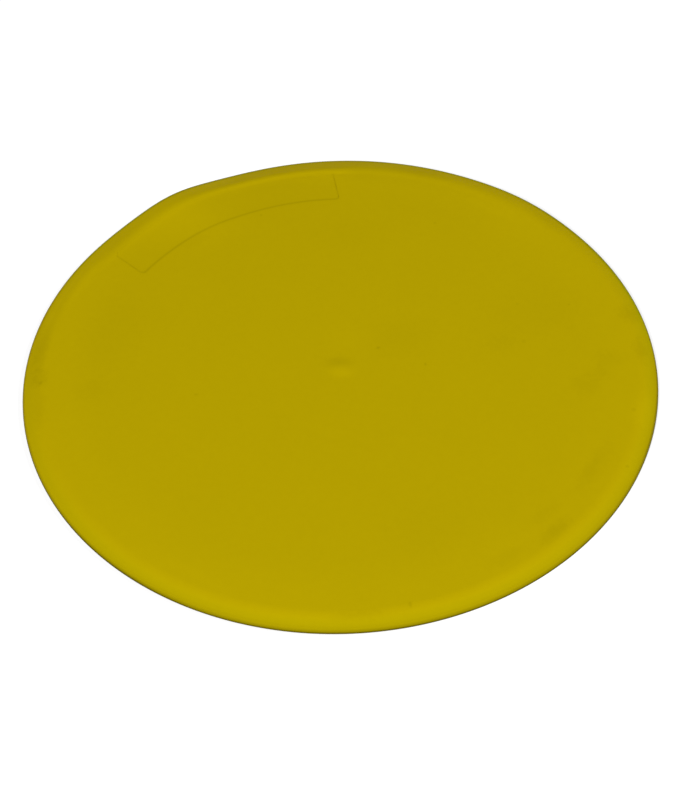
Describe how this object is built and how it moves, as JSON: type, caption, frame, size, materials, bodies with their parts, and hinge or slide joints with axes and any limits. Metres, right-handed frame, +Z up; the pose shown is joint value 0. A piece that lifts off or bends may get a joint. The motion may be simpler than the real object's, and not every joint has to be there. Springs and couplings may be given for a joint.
{
  "type": "floor marker",
  "caption": "Flat round floor marker disc of soft rubber with a rounded rim, a blank name strip let into its top and grip relief underneath.",
  "frame": {"origin": "on the floor, under the middle of the disc", "axes": "+Z up out of the top face; +Y towards the middle of the name strip"},
  "size_m": [0.23, 0.23, 0.0055],
  "materials": {
    "disc_rubber": "matte",
    "strip_rubber": "matte"
  },
  "bodies": {
    "root": {"marker_disc": "disc_rubber", "name_strip": "strip_rubber"}
  },
  "joints": []
}
